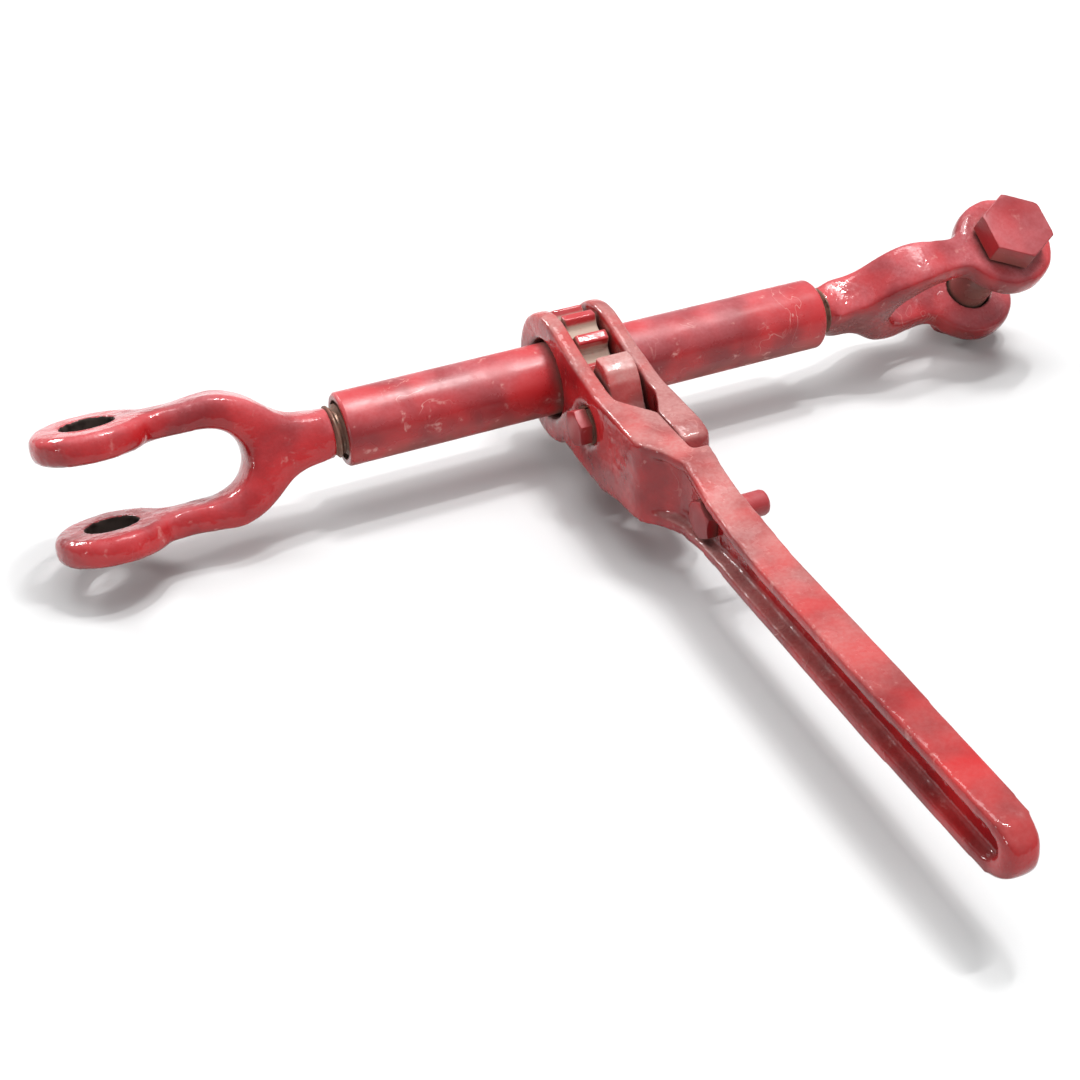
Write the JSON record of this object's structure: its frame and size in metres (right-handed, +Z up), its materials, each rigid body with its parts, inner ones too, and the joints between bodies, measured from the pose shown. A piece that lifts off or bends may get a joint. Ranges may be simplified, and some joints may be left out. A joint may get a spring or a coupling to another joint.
{
  "type": "ratchet load binder",
  "caption": "Ratchet load binder: a threaded barrel with a gear and ratchet handle draws in two forked jaws, one with a cross bolt.",
  "frame": {"origin": "on the barrel's axis, in the middle plane of the ratchet gear", "axes": "+X along the barrel towards the jaw that holds the bolt, handle along -Y, +Z up"},
  "size_m": [0.5162, 0.3883, 0.0899],
  "materials": {
    "barrel_paint": "glossy red enamel, scuffed and dusty",
    "forging_paint": "glossy red enamel over forged steel, dusty on top",
    "gear_paint": "thin red enamel over machined steel, worn and dusty",
    "bolt_paint": "red enamel over a steel fastener",
    "bare_steel": "greased and lightly rusted",
    "spring_steel": "oiled spring wire",
    "weld_metal": "weld bead"
  },
  "bodies": {
    "barrel": {"barrel_tube": "barrel_paint", "left_thread_insert": "bare_steel", "right_thread_insert": "bare_steel", "ratchet_gear": "gear_paint", "gear_welds": "weld_metal"},
    "handle": {"handle_forging": "forging_paint", "side_plate": "forging_paint", "pawl_bolt": "bolt_paint", "pawl_bolt_washer": "bare_steel", "pawl_sleeve": "bare_steel", "handle_bolt": "bolt_paint", "pawl_spring": "spring_steel"},
    "pawl": {"pawl": "gear_paint"},
    "plunger": {"pawl_plunger": "bare_steel"},
    "left_stop": {"left_stop_washer": "bare_steel"},
    "left_jaw": {"left_clevis": "forging_paint", "left_stop_screw": "bare_steel"},
    "right_stop": {"right_stop_washer": "bare_steel"},
    "right_jaw": {"right_clevis": "forging_paint", "right_stop_screw": "bare_steel"},
    "jaw_bolt": {"clevis_bolt": "bolt_paint", "clevis_nut": "bolt_paint"}
  },
  "joints": [
    {"name": "handle_swing", "type": "hinge", "parent": "barrel", "child": "handle", "pos_m": [0, 0, 0], "axis": [1, 0, 0], "continuous": true},
    {"name": "pawl_tilt", "type": "hinge", "parent": "handle", "child": "pawl", "pos_m": [0, -0.046, 0], "axis": [1, 0, 0], "range_deg": [0, 32]},
    {"name": "plunger_push", "type": "slide", "parent": "handle", "child": "plunger", "axis": [0, -1, 0], "range_m": [0, 0.0025], "stiffness_N_per_m": 1200, "springref_m": -0.004, "deforming": ["pawl_spring"]},
    {"name": "left_screw_turn", "type": "hinge", "parent": "left_stop", "child": "left_jaw", "pos_m": [-0.2, 0, 0], "axis": [1, 0, 0], "range_deg": [-425.1, 6377.9]},
    {"name": "left_screw_travel", "type": "slide", "parent": "barrel", "child": "left_stop", "axis": [-1, 0, 0], "range_m": [-0.0051, 0.0751]},
    {"name": "right_screw_turn", "type": "hinge", "parent": "right_stop", "child": "right_jaw", "pos_m": [0.2, 0, 0], "axis": [1, 0, 0], "range_deg": [-425.1, 6377.9]},
    {"name": "right_screw_travel", "type": "slide", "parent": "barrel", "child": "right_stop", "axis": [1, 0, 0], "range_m": [-0.0051, 0.0751]},
    {"name": "jaw_bolt_turn", "type": "hinge", "parent": "right_jaw", "child": "jaw_bolt", "pos_m": [0.233, 0, 0], "axis": [0, -0.5299, 0.848], "continuous": true}
  ],
  "couplings": [
    {"joint": "left_screw_travel", "follows": "left_screw_turn", "m_per_rad": 0.00067376},
    {"joint": "right_screw_travel", "follows": "right_screw_turn", "m_per_rad": 0.00067376}
  ]
}
